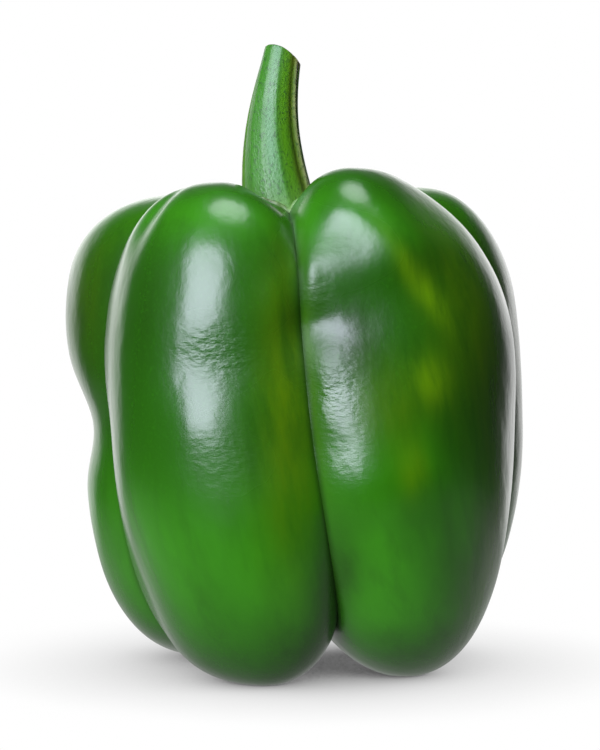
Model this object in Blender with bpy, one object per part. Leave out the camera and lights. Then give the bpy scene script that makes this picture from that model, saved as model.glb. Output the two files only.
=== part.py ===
"""A bell pepper standing on its lobes: the fruit, and the stem with its calyx.

Metres, +Z up. The origin is on the resting surface, under the middle of the
pepper's box. The front, with the groove between the two wide lobes, faces -Y.
An azimuth is in degrees round the axis from the front, positive towards +X.
"""

import math
from typing import NamedTuple

import bmesh
import bpy
import numpy as np

MM = 0.001


class Meridian(NamedTuple):
    """One outline of the fruit from top to bottom, at one azimuth.

    Its foot is turned further round than its shoulder, by turn. Shoulder, belly
    and foot are its highest, widest and lowest points, each as (distance from
    the axis, height) in millimetres.
    """

    azimuth: float
    turn: float
    shoulder: tuple
    belly: tuple
    foot: tuple


# The crests of the four lobes: left front, right front, right back, left back.
# Each foot is a little under the resting surface, where it is cut flat.
CRESTS = (
    Meridian(-31.0, 17.0, (22.0, 98.0), (46.5, 47.0), (23.5, -0.5)),
    Meridian(32.0, 29.0, (24.5, 100.8), (47.5, 49.0), (25.0, -0.5)),
    Meridian(120.0, 0.0, (31.0, 95.5), (50.4, 51.0), (26.0, -0.5)),
    Meridian(-122.0, -12.0, (22.0, 94.3), (50.0, 66.5), (21.0, -0.5)),
)

# The groove before each of those lobes: left, front, right, back.
GROOVES = (
    Meridian(-82.0, 8.0, (18.0, 91.5), (37.5, 54.0), (22.0, 8.0)),
    Meridian(3.0, 20.0, (15.5, 92.0), (39.5, 48.0), (23.0, 10.5)),
    Meridian(90.0, 10.0, (19.0, 91.0), (43.0, 52.0), (22.0, 8.0)),
    Meridian(182.0, -4.0, (16.0, 91.0), (37.0, 54.0), (22.0, 9.0)),
)

# The cavity round the stem, the dimple underneath, and how square the wall
# bends above and below the belly (2 is an ellipse).
CAVITY_FLOOR = 88.0
DIMPLE_ROOF = 13.0
SQUARENESS_ABOVE = 2.3
SQUARENESS_BELOW = 2.25

# The height where the lobes start to turn, and how far the fruit leans there.
TURN_HEIGHT = 100.0
LEAN = -2.0

# A groove is a tight crease at its two ends and a soft valley at mid-height.
VALLEY_MIDDLE = 0.10
VALLEY_END = 0.04
ROUNDNESS_MIDDLE = 1.0
ROUNDNESS_END = 0.75


class Swell(NamedTuple):
    """A low rise (or, below zero, a dent) in the fruit's wall."""

    azimuth: float
    height: float
    half_angle: float
    half_height: float
    rise: float


# The pinched waist of the left back lobe, the slimmer left flank and the crease
# on the shoulder of the left front lobe, and the right front lobe's gentle
# dents and rises.
SWELLS = (
    Swell(-118.0, 48.0, 34.0, 9.5, -5.2),
    Swell(-118.0, 34.0, 34.0, 15.0, -1.8),
    Swell(-118.0, 84.0, 30.0, 9.0, 0.9),
    Swell(-64.0, 50.0, 14.0, 34.0, -2.2),
    Swell(-56.0, 14.0, 18.0, 18.0, -2.6),
    Swell(-51.0, 94.0, 5.0, 8.0, -1.8),
    Swell(54.0, 96.0, 20.0, 7.0, -2.4),
    Swell(66.0, 73.0, 18.0, 18.0, 1.8),
    Swell(112.0, 79.0, 26.0, 13.0, 1.1),
    Swell(9.0, 82.0, 9.0, 7.0, 0.8),
    Swell(12.0, 71.5, 11.0, 6.0, -1.1),
    Swell(24.0, 74.0, 15.0, 15.0, -2.1),
    Swell(16.0, 36.0, 16.0, 9.0, 1.4),
)

# Long gentle waves in the wall, as (waves round, waves up, rise, start).
WAVES = (
    (3, 1.1, 0.30, 0.4),
    (5, 0.7, 0.25, 2.1),
    (7, 1.7, 0.18, 4.0),
)

# Swells and waves fade out nearer the axis than this.
SWELL_REACH = 30.0

# From the fruit's axis to the middle of the pepper's box.
BOX_MIDDLE = (0.15, -1.5)

# The stem, in millimetres from the fruit's axis.
STEM_FOOT = (-2.45, -1.0, 90.5)
STEM_TOP = (-2.2, 1.0, 124.0)
STEM_BOW = -1.85
STEM_RADIUS_FOOT = 7.85
STEM_RADIUS_TOP = 3.8
STEM_TAPER = 1.12
RIB_AZIMUTHS = (14.0, 84.0, 146.0, 210.0, 272.0, 338.0)
RIB_SHARPNESS = 0.55
RIB_TURN = -20.0

# The cut at the stem's top drops away to the right, and slants this steeply back.
CUT_DROP = 3.9
CUT_CURVE = 2.2
CUT_FALL_BACK = 0.21
CUT_BEND = 3

# The calyx: a thin toothed disc just off the cavity's wall.
CALYX_RADIUS = 12.0
CALYX_TOOTH = 1.2
TOOTH_HALF_ANGLE = 16.0
CALYX_THICKNESS = 1.3
CALYX_GAP = 0.4
FLARE_STEEPNESS = 2.6

# How finely each solid is divided.
COLUMNS_PER_HALF_LOBE = 10
ROWS_CAVITY = 8
ROWS_ABOVE_BELLY = 16
ROWS_BELOW_BELLY = 15
ROWS_UNDER = 8
STEM_COLUMNS = 40
STEM_RINGS = 14
FLARE_RINGS = 8
CALYX_UNDER_RINGS = 4


def between(start, end, share):
    """The value at this share of the way from start to end."""
    return start + (end - start) * share


def eased(share):
    """A share of a way that starts and ends level."""
    return (1.0 - np.cos(math.pi * share)) / 2.0


def turn_to(azimuth, other):
    """Degrees from one azimuth to another, the short way round."""
    return (other - azimuth + 180.0) % 360.0 - 180.0


def clear_scene():
    for thing in list(bpy.data.objects):
        bpy.data.objects.remove(thing, do_unlink=True)


def meridian_points(meridian):
    """(distances, heights) down one meridian, from the axis to the axis."""
    shoulder_r, shoulder_z = meridian.shoulder
    belly_r, belly_z = meridian.belly
    foot_r, foot_z = meridian.foot
    inward = np.arange(ROWS_CAVITY) / ROWS_CAVITY
    above = np.arange(ROWS_ABOVE_BELLY) / ROWS_ABOVE_BELLY * math.pi / 2
    below = np.arange(ROWS_BELOW_BELLY) / ROWS_BELOW_BELLY * math.pi / 2
    under = np.arange(ROWS_UNDER + 1) / ROWS_UNDER
    distances = np.concatenate(
        [
            shoulder_r * inward,
            between(shoulder_r, belly_r, np.sin(above) ** (2 / SQUARENESS_ABOVE)),
            between(foot_r, belly_r, np.cos(below) ** (2 / SQUARENESS_BELOW)),
            foot_r * (1.0 - under),
        ]
    )
    heights = np.concatenate(
        [
            between(CAVITY_FLOOR, shoulder_z, eased(inward)),
            between(belly_z, shoulder_z, np.cos(above) ** (2 / SQUARENESS_ABOVE)),
            between(belly_z, foot_z, np.sin(below) ** (2 / SQUARENESS_BELOW)),
            between(foot_z, DIMPLE_ROOF, eased(under)),
        ]
    )
    return distances, heights


def nearness_to_ends():
    """For each row, 0 at the belly and 1 at the cavity and the dimple."""
    above = np.linspace(1.0, 0.0, ROWS_ABOVE_BELLY, endpoint=False)
    below = np.linspace(0.0, 1.0, ROWS_BELOW_BELLY, endpoint=False)
    return np.concatenate(
        [np.ones(ROWS_CAVITY), above**2, below**2, np.ones(ROWS_UNDER + 1)]
    )


def crest_share(across, ends):
    """How far the wall stands out from the groove (0) to the crest (1).

    across is 0 on the crest and 1 in the groove.
    """
    valley = between(VALLEY_MIDDLE, VALLEY_END, ends)
    roundness = between(ROUNDNESS_MIDDLE, ROUNDNESS_END, ends)
    level = 1.0 - across**2
    softened = np.sqrt(level**2 + valley**2) - valley
    full = np.sqrt(1.0 + valley**2) - valley
    return (softened / full) ** roundness


def half_lobe(crest, groove):
    """Columns of (azimuths, distances, heights) from the crest to its groove."""
    crest_r, crest_z = meridian_points(crest)
    groove_r, groove_z = meridian_points(groove)
    ends = nearness_to_ends()
    columns = []
    for step in range(COLUMNS_PER_HALF_LOBE + 1):
        across = math.sin(step / COLUMNS_PER_HALF_LOBE * math.pi / 2)
        share = crest_share(across, ends)
        heights = between(groove_z, crest_z, share)
        low = 1.0 - np.clip(heights / TURN_HEIGHT, 0.0, 1.0)
        azimuth = crest.azimuth + turn_to(crest.azimuth, groove.azimuth) * across
        azimuths = azimuth + between(crest.turn, groove.turn, across) * low**3
        columns.append((azimuths, between(groove_r, crest_r, share), heights))
    return columns


def swell_rise(azimuths, heights):
    """Millimetres that the wall rises at these azimuths and heights."""
    rise = np.zeros_like(heights)
    for swell in SWELLS:
        away = (turn_to(swell.azimuth, azimuths) / swell.half_angle) ** 2
        away = away + ((heights - swell.height) / swell.half_height) ** 2
        rise += swell.rise * np.exp(-away)
    for waves_round, waves_up, wave_rise, start in WAVES:
        phase = np.radians(azimuths) * waves_round
        phase = phase + heights / TURN_HEIGHT * waves_up * 2.0 * math.pi + start
        rise += wave_rise * np.sin(phase)
    return rise


def fruit_columns():
    """The fruit's wall as columns of points (3, rows), in turn round the axis."""
    halves = []
    for number, crest in enumerate(CRESTS):
        before = GROOVES[number]
        after = GROOVES[(number + 1) % len(GROOVES)]
        halves += half_lobe(crest, before)[:0:-1]
        halves += half_lobe(crest, after)[:-1]
    columns = []
    for azimuths, distances, heights in halves:
        outward = np.clip(distances / SWELL_REACH, 0.0, 1.0) ** 2
        distances = distances + swell_rise(azimuths, heights) * outward
        angles = np.radians(azimuths)
        across = distances * np.sin(angles) + LEAN * (heights / TURN_HEIGHT) ** 3
        columns.append(np.stack([across, -distances * np.cos(angles), heights]))
    return columns


def mesh_object(name, points, faces, material):
    """A smooth mesh object from points in millimetres from the fruit's axis."""
    middle = np.array([*BOX_MIDDLE, 0.0])
    mesh = bpy.data.meshes.new(name)
    mesh.from_pydata([((point - middle) * MM).tolist() for point in points], [], faces)
    mesh.materials.append(material)
    mesh.shade_smooth()
    thing = bpy.data.objects.new(name, mesh)
    bpy.context.scene.collection.objects.link(thing)
    return thing


def closed_grid(rings, first, last):
    """Points and faces of a skin of closed rings between two end points.

    The rings run from first to last, and each turns the same way round.
    """
    count = len(rings[0])
    points = [first] + [point for ring in rings for point in ring] + [last]
    faces = []
    for column in range(count):
        after = (column + 1) % count
        faces.append((0, 1 + column, 1 + after))
        for row in range(len(rings) - 1):
            here, below = 1 + row * count, 1 + (row + 1) * count
            faces.append((here + column, below + column, below + after, here + after))
        lowest = 1 + (len(rings) - 1) * count
        faces.append((lowest + column, len(points) - 1, lowest + after))
    return points, faces


def cut_flat_feet(thing):
    """Cuts the four feet off level with the resting surface."""
    shape = bmesh.new()
    shape.from_mesh(thing.data)
    cut = bmesh.ops.bisect_plane(
        shape,
        geom=shape.verts[:] + shape.edges[:] + shape.faces[:],
        dist=1e-7,
        plane_co=(0.0, 0.0, 0.0),
        plane_no=(0.0, 0.0, 1.0),
        clear_inner=True,
    )
    edges = [edge for edge in cut["geom_cut"] if isinstance(edge, bmesh.types.BMEdge)]
    feet = bmesh.ops.edgeloop_fill(shape, edges=edges)
    for face in feet["faces"]:
        face.smooth = False
        for vertex in face.verts:
            vertex.co.z = 0.0
    bmesh.ops.recalc_face_normals(shape, faces=shape.faces[:])
    shape.to_mesh(thing.data)
    shape.free()


def build_fruit(material):
    columns = fruit_columns()
    rows = columns[0].shape[1]
    rings = [[column[:, row] for column in columns] for row in range(1, rows - 1)]
    first, last = columns[0][:, 0], columns[0][:, -1]
    fruit = mesh_object("fruit", *closed_grid(rings, first, last), material)
    cut_flat_feet(fruit)


class Cavity:
    """The cavity's wall, read at an angle and a distance from its middle."""

    def __init__(self):
        columns = [column[:, : ROWS_CAVITY + 1] for column in fruit_columns()]
        self.middle = columns[0][0, 0]
        self.spokes = []
        for across, back, heights in columns:
            angle = math.atan2(across[-1] - self.middle, -back[-1])
            distances = np.hypot(across - self.middle, back)
            self.spokes.append((angle, distances, heights))
        self.spokes.sort(key=lambda spoke: spoke[0])

    def angle_and_distance(self, point):
        across = point[0] - self.middle
        return math.atan2(across, -point[1]), math.hypot(across, point[1])

    def point_over(self, angle, distance, rise):
        """The point at this rise over the wall."""
        angles = [spoke[0] for spoke in self.spokes]
        heights = [np.interp(distance, spoke[1], spoke[2]) for spoke in self.spokes]
        height = np.interp(angle, angles, heights, period=2.0 * math.pi) + rise
        across = self.middle + distance * math.sin(angle)
        return np.array([across, -distance * math.cos(angle), height])


def rib_shape(azimuth):
    """The stem's outline as a share of its radius: a polygon with soft corners."""
    corners = [*RIB_AZIMUTHS, RIB_AZIMUTHS[0] + 360.0]
    round_once = (azimuth - corners[0]) % 360.0 + corners[0]
    facet = np.searchsorted(corners, round_once, side="right") - 1
    start, end = corners[facet], corners[facet + 1]
    from_middle = math.radians(round_once - (start + end) / 2.0)
    flat = math.cos(math.radians(end - start) / 2.0) / math.cos(from_middle)
    return between(1.0, flat, RIB_SHARPNESS)


def stem_ring(share):
    """The stem's outline at this share of the way from its foot to its top."""
    centre = between(np.array(STEM_FOOT), np.array(STEM_TOP), share)
    centre[0] += STEM_BOW * math.sin(math.pi * share)
    radius = between(STEM_RADIUS_TOP, STEM_RADIUS_FOOT, (1.0 - share) ** STEM_TAPER)
    ring = []
    for column in range(STEM_COLUMNS):
        azimuth = 360.0 * column / STEM_COLUMNS
        reach = radius * rib_shape(azimuth - RIB_TURN * share)
        across = reach * math.sin(math.radians(azimuth))
        back = -reach * math.cos(math.radians(azimuth))
        rightness = max(0.0, (1.0 + across / STEM_RADIUS_TOP) / 2.0)
        drop = CUT_DROP * rightness**CUT_CURVE
        fall = (drop + CUT_FALL_BACK * back) * share**CUT_BEND
        ring.append(centre + np.array([across, back, -fall]))
    return ring


def calyx_rim(angle):
    """The calyx's radius at an angle, with a tooth below each rib."""
    aside = min(abs(turn_to(rib, math.degrees(angle))) for rib in RIB_AZIMUTHS)
    return CALYX_RADIUS + CALYX_TOOTH * math.exp(-((aside / TOOTH_HALF_ANGLE) ** 2))


def build_stem(material):
    """The stem from its cut top down, the calyx outward, and its underside."""
    cavity = Cavity()
    rings = [stem_ring(1.0 - step / STEM_RINGS) for step in range(STEM_RINGS + 1)]
    spokes = []
    for point in rings[-1]:
        angle, start = cavity.angle_and_distance(point)
        lift = point[2] - cavity.point_over(angle, start, CALYX_GAP + CALYX_THICKNESS)[2]
        spokes.append((angle, start, calyx_rim(angle), lift))
    for step in range(1, FLARE_RINGS + 1):
        out = step / FLARE_RINGS
        ring = []
        for angle, start, rim, lift in spokes:
            rise = CALYX_GAP + CALYX_THICKNESS + lift * (1.0 - out) ** FLARE_STEEPNESS
            ring.append(cavity.point_over(angle, between(start, rim, out), rise))
        rings.append(ring)
    for step in range(CALYX_UNDER_RINGS):
        share = 1.0 - step / CALYX_UNDER_RINGS
        ring = []
        for angle, _, rim, _ in spokes:
            ring.append(cavity.point_over(angle, rim * share, CALYX_GAP))
        rings.append(ring)
    top = np.mean(rings[0], axis=0)
    bottom = cavity.point_over(0.0, 0.0, CALYX_GAP)
    mesh_object("stem", *closed_grid(rings, top, bottom), material)


def finish(name, colour, roughness):
    """A material with one colour and roughness."""
    material = bpy.data.materials.new(name)
    material.use_nodes = True
    shader = material.node_tree.nodes["Principled BSDF"]
    shader.inputs["Base Color"].default_value = (*colour, 1.0)
    shader.inputs["Roughness"].default_value = roughness
    shader.inputs["Metallic"].default_value = 0.0
    return material


def main():
    clear_scene()
    build_fruit(finish("skin", (0.03, 0.17, 0.01), 0.2))
    build_stem(finish("stem", (0.12, 0.33, 0.07), 0.45))


main()
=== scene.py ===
"""A green bell pepper on a white floor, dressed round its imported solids.

Metres, +Z up. The origin is on the resting surface, under the middle of the
pepper's box, and the groove between its two wide lobes faces -Y. An azimuth is in
degrees round the fruit's axis from the front, positive towards +X. The named
values of the form are in millimetres from the fruit's axis.
"""

import math
from typing import NamedTuple

import bpy
import numpy as np
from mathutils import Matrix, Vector, noise


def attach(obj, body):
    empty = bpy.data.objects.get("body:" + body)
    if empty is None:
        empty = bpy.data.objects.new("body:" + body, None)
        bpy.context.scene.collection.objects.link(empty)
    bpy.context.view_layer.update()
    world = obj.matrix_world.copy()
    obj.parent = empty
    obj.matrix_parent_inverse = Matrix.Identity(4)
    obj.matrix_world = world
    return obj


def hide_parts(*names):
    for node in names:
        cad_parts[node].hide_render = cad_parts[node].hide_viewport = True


bl_info = {
    "name": "Bell Pepper",
    "version": (1, 0, 0),
    "blender": (4, 5, 0),
    "location": "3D View > Sidebar > Pepper",
    "description": "Builds a green bell pepper with its stem, and a white stage for it",
    "category": "Add Mesh",
}

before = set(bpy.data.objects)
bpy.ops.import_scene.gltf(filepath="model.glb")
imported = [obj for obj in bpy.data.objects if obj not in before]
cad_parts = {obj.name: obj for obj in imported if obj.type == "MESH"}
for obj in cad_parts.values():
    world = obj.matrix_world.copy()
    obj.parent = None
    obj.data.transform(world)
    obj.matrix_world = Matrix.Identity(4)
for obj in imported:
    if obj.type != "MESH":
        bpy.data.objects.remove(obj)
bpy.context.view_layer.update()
BODY = "root"
MM = 0.001
WHITE = (1.0, 1.0, 1.0, 1.0)


class Meridian(NamedTuple):
    """One outline of the fruit from top to bottom, at one azimuth.

    Its foot is turned further round than its shoulder, by turn. Shoulder, belly
    and foot are its highest, widest and lowest points, each as (distance from
    the axis, height).
    """

    azimuth: float
    turn: float
    shoulder: tuple
    belly: tuple
    foot: tuple


# The crests of the four lobes: left front, right front, right back, left back.
CRESTS = (
    Meridian(-31.0, 17.0, (22.0, 98.0), (46.5, 47.0), (23.5, -0.5)),
    Meridian(32.0, 29.0, (24.5, 100.8), (47.5, 49.0), (25.0, -0.5)),
    Meridian(120.0, 0.0, (31.0, 95.5), (50.4, 51.0), (26.0, -0.5)),
    Meridian(-122.0, -12.0, (22.0, 94.3), (50.0, 66.5), (21.0, -0.5)),
)

# The groove before each of those lobes: left, front, right, back.
GROOVES = (
    Meridian(-82.0, 8.0, (18.0, 91.5), (37.5, 54.0), (22.0, 8.0)),
    Meridian(3.0, 20.0, (15.5, 92.0), (39.5, 48.0), (23.0, 10.5)),
    Meridian(90.0, 10.0, (19.0, 91.0), (43.0, 52.0), (22.0, 8.0)),
    Meridian(182.0, -4.0, (16.0, 91.0), (37.0, 54.0), (22.0, 9.0)),
)

FRONT_GROOVE = GROOVES[1]

# The cavity round the stem, the dimple underneath, and how square the wall
# bends above and below the belly (2 is an ellipse).
CAVITY_FLOOR = 88.0
DIMPLE_ROOF = 13.0
SQUARENESS_ABOVE = 2.3
SQUARENESS_BELOW = 2.25

# The height where the lobes start to turn, and how far the fruit leans there.
TURN_HEIGHT = 100.0
LEAN = -2.0

# How round a lobe is across, at mid-height and at its grooves' two ends. The less
# it is, the tighter is the crease of the groove.
ROUNDNESS_MIDDLE = 1.0
ROUNDNESS_END = 0.75


class Swell(NamedTuple):
    """A low rise (or, below zero, a dent) in the fruit's wall."""

    azimuth: float
    height: float
    half_angle: float
    half_height: float
    rise: float


# The pinched waist of the left back lobe, the slimmer left flank and the crease
# on the shoulder of the left front lobe, and the gentle dents and rises of the
# two right lobes.
SWELLS = (
    Swell(-118.0, 48.0, 34.0, 9.5, -5.2),
    Swell(-118.0, 34.0, 34.0, 15.0, -1.8),
    Swell(-118.0, 84.0, 30.0, 9.0, 0.9),
    Swell(-64.0, 50.0, 14.0, 34.0, -2.2),
    Swell(-56.0, 14.0, 18.0, 18.0, -2.6),
    Swell(-51.0, 94.0, 5.0, 8.0, -1.8),
    Swell(54.0, 96.0, 20.0, 7.0, -2.4),
    Swell(66.0, 73.0, 18.0, 18.0, 1.8),
    Swell(112.0, 79.0, 26.0, 13.0, 1.1),
    Swell(9.0, 82.0, 9.0, 7.0, 0.8),
    Swell(12.0, 71.5, 11.0, 6.0, -1.1),
    Swell(24.0, 74.0, 15.0, 15.0, -2.1),
    Swell(16.0, 36.0, 16.0, 9.0, 1.4),
)

# Finer ones that show in the gloss: the left front lobe's, then the right front
# lobe's.
FINE_SWELLS = (
    Swell(-17.0, 76.0, 11.0, 6.5, 0.45),
    Swell(-3.0, 77.0, 5.0, 6.0, 0.80),
    Swell(-19.0, 54.0, 12.0, 9.0, 0.45),
    Swell(-24.0, 50.0, 6.0, 11.0, 0.15),
    Swell(-16.0, 62.5, 24.0, 7.2, -1.45),
    Swell(33.0, 87.0, 10.0, 6.0, 1.60),
    Swell(17.0, 88.0, 8.0, 4.0, -1.00),
    Swell(5.0, 79.0, 4.0, 6.5, 1.40),
    Swell(5.0, 83.0, 4.5, 4.0, 0.80),
    Swell(16.0, 79.0, 7.0, 5.0, -0.80),
    Swell(9.0, 70.5, 9.5, 4.5, -1.25),
    Swell(24.0, 76.0, 10.0, 6.0, -1.20),
    Swell(7.5, 64.0, 6.0, 6.0, 0.90),
    Swell(8.0, 54.5, 6.0, 5.0, 0.50),
    Swell(12.0, 68.0, 8.0, 7.0, 0.60),
    Swell(23.0, 68.0, 9.0, 7.0, -0.80),
    Swell(18.0, 42.0, 16.0, 14.0, 1.80),
    Swell(18.0, 33.0, 14.0, 6.0, -0.80),
)

# The left shoulder sinks towards the front groove, in front of the stem. The
# hollow's middle is (right, back), and it sets in over this height above the
# cavity's floor.
HOLLOW_MIDDLE = (-3.5, -19.0)
HOLLOW_RADIUS = 5.5
HOLLOW_DEPTH = 2.4
HOLLOW_ONSET = 4.0

# Long gentle waves in the wall, as (waves round, waves up, rise, start).
WAVES = (
    (3, 1.1, 0.30, 0.4),
    (5, 0.7, 0.25, 2.1),
    (7, 1.7, 0.18, 4.0),
)

# Irregular ripples in the wall, as (ripples in a metre, rise).
RIPPLES = ((70.0, 0.10), (190.0, 0.035))

# Swells and waves fade out nearer the axis than this.
SWELL_REACH = 30.0

# From the fruit's axis to the middle of the pepper's box.
BOX_MIDDLE = (0.15, -1.5)

# The stem.
STEM_FOOT = (-2.45, -1.0, 90.5)
STEM_TOP = (-2.2, 1.0, 124.0)
STEM_BOW = -1.85
STEM_RADIUS_FOOT = 7.85
STEM_RADIUS_TOP = 3.8
STEM_TAPER = 1.12
RIB_AZIMUTHS = (18.0, 84.0, 146.0, 210.0, 272.0, 322.0, 346.0)
RIB_SHARPNESS = 0.55
RIB_TURN = -20.0

# The cut at the stem's top drops away to the right and slants to the back. Its
# face is dished and stands a little above its rounded edge.
CUT_DROP = 3.9
CUT_CURVE = 2.2
CUT_FALL_BACK = 0.21
CUT_BEND = 3
CUT_DISH = 0.35
CUT_EDGE = 0.5
CUT_RISE = 0.3


class Furrow(NamedTuple):
    """A fine furrow (or, below zero, a thin rib) that runs up the stem."""

    azimuth: float
    half_angle: float
    depth: float


FURROWS = (
    Furrow(-76.0, 6.0, 0.45),
    Furrow(62.0, 7.0, 0.25),
    Furrow(72.0, 4.0, -0.30),
    Furrow(82.0, 5.0, 0.45),
    Furrow(140.0, 7.0, 0.35),
    Furrow(-150.0, 7.0, 0.35),
)

# How much shallower the furrows are at the cut.
FURROW_FADE = 0.6

# The calyx: a thin toothed disc on the cavity's wall. Its rim is ragged by waves,
# each as (waves round in radians, rise, start).
CALYX_RADIUS = 12.0
CALYX_TOOTH = 1.2
TOOTH_HALF_ANGLE = 16.0
CALYX_THICKNESS = 1.5
CALYX_GAP = -0.2
CALYX_SINK = 0.1
CALYX_RAGGED = ((13.0, 0.35, 1.0), (29.0, 0.2, 0.0))
FLARE_STEEPNESS = 2.6

# How finely each piece is divided.
COLUMNS_PER_HALF_LOBE = 40
ROWS_CAVITY = 26
ROWS_ABOVE_BELLY = 84
ROWS_BELOW_BELLY = 72
ROWS_UNDER = 24
STEM_COLUMNS = 180
CUT_RINGS = 10
STEM_RINGS = 110
FLARE_RINGS = 40
CALYX_UNDER_RINGS = 6
STEM_AZIMUTHS = 360.0 * np.arange(STEM_COLUMNS) / STEM_COLUMNS

# The distances from the cavity's middle at which its wall is read.
CAVITY_DISTANCES = np.linspace(0.0, 16.0, 65)


class Patch(NamedTuple):
    """A soft patch of one tone on the skin.

    Its middle moves round by drift degrees for each millimetre up.
    """

    tone: str
    azimuth: float
    height: float
    half_angle: float
    half_height: float
    strength: float
    drift: float = 0.0


TONES = ("grass", "olive", "yellow", "shade", "wrinkle", "dull")
ALL_ROUND = 400.0
PATCHES = (
    # Painted light: the brighter green low all round stands for the floor's bounce, and at the shoulders
    # for the overhead lamp.
    Patch("grass", 0.0, 24.0, ALL_ROUND, 17.0, 0.75),
    Patch("grass", 0.0, 92.0, ALL_ROUND, 6.0, 0.5),
    Patch("grass", 29.0, 28.0, 16.0, 16.0, 0.6),
    Patch("grass", 31.0, 45.0, 8.0, 8.0, 0.6),
    Patch("grass", 150.0, 60.0, 20.0, 22.0, 0.4),
    Patch("grass", -150.0, 70.0, 16.0, 16.0, 0.3),
    # Painted light: brighter green low on the right side, standing in for fill light there.
    Patch("grass", 58.0, 28.0, 18.0, 20.0, 0.9),
    Patch("olive", -1.0, 55.0, 7.0, 26.0, 0.9),
    Patch("olive", 24.0, 56.0, 9.0, 8.0, 0.45),
    Patch("olive", 50.0, 74.0, 12.0, 22.0, 0.6),
    Patch("olive", 100.0, 60.0, 12.0, 26.0, 0.5),
    Patch("olive", -170.0, 50.0, 14.0, 26.0, 0.5),
    Patch("olive", -92.0, 74.0, 10.0, 16.0, 0.2),
    # Painted light: warmer green low on the right side, standing in for fill light there.
    Patch("olive", 66.0, 42.0, 12.0, 18.0, 0.5),
    Patch("yellow", 36.0, 78.5, 3.5, 8.0, 0.95, -0.75),
    Patch("yellow", 35.0, 60.5, 4.5, 4.5, 1.0),
    Patch("yellow", 29.0, 44.0, 3.5, 5.0, 0.6),
    # Painted light: yellower low on the right side, standing in for fill light there.
    Patch("yellow", 62.0, 26.0, 10.0, 17.0, 0.35),
    Patch("yellow", 133.0, 66.0, 4.0, 9.0, 0.5, 0.4),
    Patch("shade", -41.0, 72.0, 10.0, 20.0, 0.7),
    Patch("shade", -88.0, 74.0, 16.0, 20.0, 1.0),
    Patch("shade", -86.0, 25.0, 10.0, 20.0, 0.4),
    Patch("shade", 12.0, 22.0, 7.0, 14.0, 0.8),
    # Painted shade: darker in the dent on the right front lobe.
    Patch("shade", 17.0, 69.0, 9.0, 8.0, 1.0),
    Patch("shade", -3.0, 84.0, 6.0, 6.0, 0.4),
    Patch("shade", 110.0, 80.0, 16.0, 12.0, 0.4),
    Patch("wrinkle", -19.0, 66.0, 9.0, 6.0, 0.8),
    Patch("wrinkle", -17.0, 47.0, 9.0, 6.0, 0.35),
    Patch("wrinkle", 10.0, 62.0, 8.0, 7.0, 0.6),
    Patch("wrinkle", 7.0, 78.0, 5.0, 4.0, 0.5),
    Patch("wrinkle", 14.0, 45.0, 8.0, 8.0, 0.2),
    Patch("wrinkle", 16.0, 86.0, 9.0, 5.0, 0.2),
    Patch("wrinkle", 125.0, 60.0, 16.0, 12.0, 0.3),
    Patch("dull", -19.0, 66.0, 11.0, 7.0, 0.5),
    Patch("dull", -17.0, 46.0, 10.0, 6.0, 0.4),
    Patch("dull", 8.0, 66.0, 8.0, 5.0, 1.0),
    Patch("dull", 6.0, 78.0, 5.0, 3.0, 0.7),
    Patch("dull", 14.0, 86.0, 12.0, 6.0, 0.8),
)

# How near a groove's bottom (1 is all the way up to the crest) the skin is darkened with painted shade,
# and how strongly.
GROOVE_SHADE_HALF_WIDTH = 0.03
GROOVE_SHADE_STRENGTH = 0.8

# The painted highlight: a pale glint that runs down the front groove from the calyx, which is looked for
# this many degrees to each side.
CREASE_TOP = 93.0
CREASE_BOTTOM = 84.0
CREASE_HALF_WIDTH = 0.35
CREASE_REACH = 20.0

# The dry scar that the flower leaves in the middle of the dimple.
BLOSSOM_SCAR_RADIUS = 2.6

# How many features each grain has in a metre: the skin's colour and relief, the
# stem's, and the cut's.
STREAK_GRAIN = 220.0
CLOUD_GRAIN = 70.0
SPECKLE_GRAIN = 1500.0
RIPPLE_GRAIN = 330.0
WRINKLE_GRAIN = 950.0
PORE_GRAIN = 3200.0
FIBRE_GRAIN = 1500.0
DOT_GRAIN = 1900.0
STEM_CLOUD_GRAIN = 260.0
CUT_GRAIN = 2600.0

SKIN_IOR = 1.45
STEM_IOR = 1.42
CUT_ROUGHNESS = 0.6

# How much rougher than the rest a wholly dull patch of skin is.
DULL_ROUGHNESS = 0.25


class Stripe(NamedTuple):
    """A soft stripe of one tone that runs up the stem and turns with its ribs."""

    tone: str
    azimuth: float
    half_angle: float
    strength: float


STRIPES = (
    Stripe("olive", 58.0, 20.0, 1.0),
    Stripe("olive", -90.0, 10.0, 0.8),
    Stripe("olive", 170.0, 30.0, 0.7),
    # Painted sheen: a pale stripe where the front lamp's sheen falls on the stem.
    Stripe("painted_sheen", 4.0, 12.0, 0.35),
    Stripe("grass", 36.0, 14.0, 1.0),
    Stripe("ridge", 76.0, 7.0, 0.8),
)


class Lamp(NamedTuple):
    """A soft lamp that faces the pepper, in metres."""

    name: str
    azimuth: float
    distance: float
    height: float
    width: float
    tall: float
    radiance: float
    colour: tuple
    shape: str = "RECTANGLE"


LAMPS = (
    Lamp("key_window", -31.0, 0.85, 0.47, 0.60, 0.92, 18.8, (0.80, 0.82, 1.0)),
    Lamp("key_spill", -4.0, 0.90, 0.47, 0.22, 0.85, 1.5, (0.80, 0.82, 1.0)),
    Lamp("overhead", -30.0, 0.03, 1.00, 0.58, 0.50, 6.4, (0.9, 0.97, 1.0), "ELLIPSE"),
)

# The height that the lamps face.
LAMP_AIM = 0.05

# The surround is dark but for a bright wall: the way to it from the pepper, the
# cosines from that way between which its light sets in, and the upward parts of a
# direction between which it dims to a faint share. Then the surround's strength
# away from the wall and on it.
BRIGHT_WALL = (-0.07, 0.998, 0.0)
WALL_EDGE = (0.64, 0.72)
WALL_TOP = (0.15, 0.45)
WALL_SHARE_ABOVE = 0.06
SURROUND_STRENGTH = (0.04, 2.2)

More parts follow.
